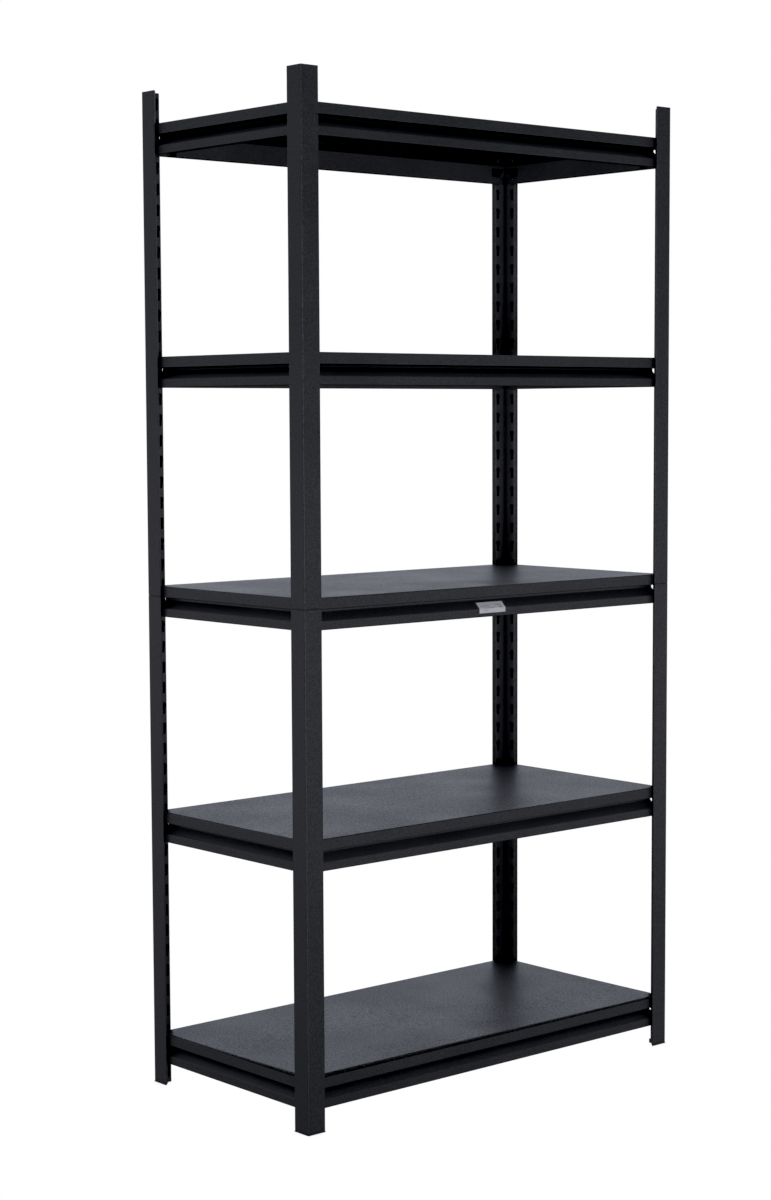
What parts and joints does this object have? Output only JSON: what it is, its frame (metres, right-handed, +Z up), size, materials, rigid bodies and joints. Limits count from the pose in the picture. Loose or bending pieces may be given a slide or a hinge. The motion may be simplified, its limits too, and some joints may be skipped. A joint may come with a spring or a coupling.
{
  "type": "boltless steel shelving",
  "caption": "Free-standing steel rack with keyholed angle posts, hook-in beams and drop-in sheet-steel shelves, in charcoal textured paint.",
  "frame": {"origin": "centre of the footprint on the floor", "axes": "+Z up, +X along the front from left to right seen from the front, +Y from the front to the back"},
  "size_m": [0.9154, 0.4582, 1.8293],
  "materials": {
    "post_coat": "fine-textured charcoal powder coat",
    "beam_coat": "fine-textured charcoal powder coat",
    "panel_coat": "fine-textured charcoal powder coat, slightly scuffed",
    "rivet_steel": "coated steel rivet",
    "foot_plastic": "moulded black",
    "coupler_plastic": "moulded black",
    "label_paper": "blank sticker"
  },
  "bodies": {
    "posts": {"front_left_foot": "foot_plastic", "front_left_post_lower": "post_coat", "front_left_coupler": "coupler_plastic", "front_left_post_upper": "post_coat", "front_right_foot": "foot_plastic", "front_right_post_lower": "post_coat", "front_right_coupler": "coupler_plastic", "front_right_post_upper": "post_coat", "back_right_foot": "foot_plastic", "back_right_post_lower": "post_coat", "back_right_coupler": "coupler_plastic", "back_right_post_upper": "post_coat", "back_left_foot": "foot_plastic", "back_left_post_lower": "post_coat", "back_left_coupler": "coupler_plastic", "back_left_post_upper": "post_coat"},
    "level_1_frame": {"level_1_front_beam": "beam_coat", "level_1_back_beam": "beam_coat", "level_1_left_beam": "beam_coat", "level_1_right_beam": "beam_coat", "level_1_rivets": "rivet_steel"},
    "level_1_deck": {"level_1_panel": "panel_coat", "level_1_stiffener": "panel_coat"},
    "level_2_frame": {"level_2_front_beam": "beam_coat", "level_2_back_beam": "beam_coat", "level_2_left_beam": "beam_coat", "level_2_right_beam": "beam_coat", "level_2_rivets": "rivet_steel"},
    "level_2_deck": {"level_2_panel": "panel_coat", "level_2_stiffener": "panel_coat"},
    "level_3_frame": {"level_3_front_beam": "beam_coat", "level_3_back_beam": "beam_coat", "level_3_left_beam": "beam_coat", "level_3_right_beam": "beam_coat", "level_3_rivets": "rivet_steel", "level_3_label": "label_paper"},
    "level_3_deck": {"level_3_panel": "panel_coat", "level_3_stiffener": "panel_coat"},
    "level_4_frame": {"level_4_front_beam": "beam_coat", "level_4_back_beam": "beam_coat", "level_4_left_beam": "beam_coat", "level_4_right_beam": "beam_coat", "level_4_rivets": "rivet_steel"},
    "level_4_deck": {"level_4_panel": "panel_coat", "level_4_stiffener": "panel_coat"},
    "level_5_frame": {"level_5_front_beam": "beam_coat", "level_5_back_beam": "beam_coat", "level_5_left_beam": "beam_coat", "level_5_right_beam": "beam_coat", "level_5_rivets": "rivet_steel"},
    "level_5_deck": {"level_5_panel": "panel_coat", "level_5_stiffener": "panel_coat"}
  },
  "joints": [
    {"name": "level_1_unhook", "type": "slide", "parent": "posts", "child": "level_1_frame", "axis": [0, 0, 1], "range_m": [0, 0.0129]},
    {"name": "level_1_deck_lift", "type": "slide", "parent": "level_1_frame", "child": "level_1_deck", "axis": [0, 0, 1], "range_m": [0, 0.1]},
    {"name": "level_2_unhook", "type": "slide", "parent": "posts", "child": "level_2_frame", "axis": [0, 0, 1], "range_m": [0, 0.0129]},
    {"name": "level_2_deck_lift", "type": "slide", "parent": "level_2_frame", "child": "level_2_deck", "axis": [0, 0, 1], "range_m": [0, 0.1]},
    {"name": "level_3_unhook", "type": "slide", "parent": "posts", "child": "level_3_frame", "axis": [0, 0, 1], "range_m": [0, 0.0129]},
    {"name": "level_3_deck_lift", "type": "slide", "parent": "level_3_frame", "child": "level_3_deck", "axis": [0, 0, 1], "range_m": [0, 0.1]},
    {"name": "level_4_unhook", "type": "slide", "parent": "posts", "child": "level_4_frame", "axis": [0, 0, 1], "range_m": [0, 0.0129]},
    {"name": "level_4_deck_lift", "type": "slide", "parent": "level_4_frame", "child": "level_4_deck", "axis": [0, 0, 1], "range_m": [0, 0.1]},
    {"name": "level_5_unhook", "type": "slide", "parent": "posts", "child": "level_5_frame", "axis": [0, 0, 1], "range_m": [0, 0.0129]},
    {"name": "level_5_deck_lift", "type": "slide", "parent": "level_5_frame", "child": "level_5_deck", "axis": [0, 0, 1], "range_m": [0, 0.1]}
  ]
}
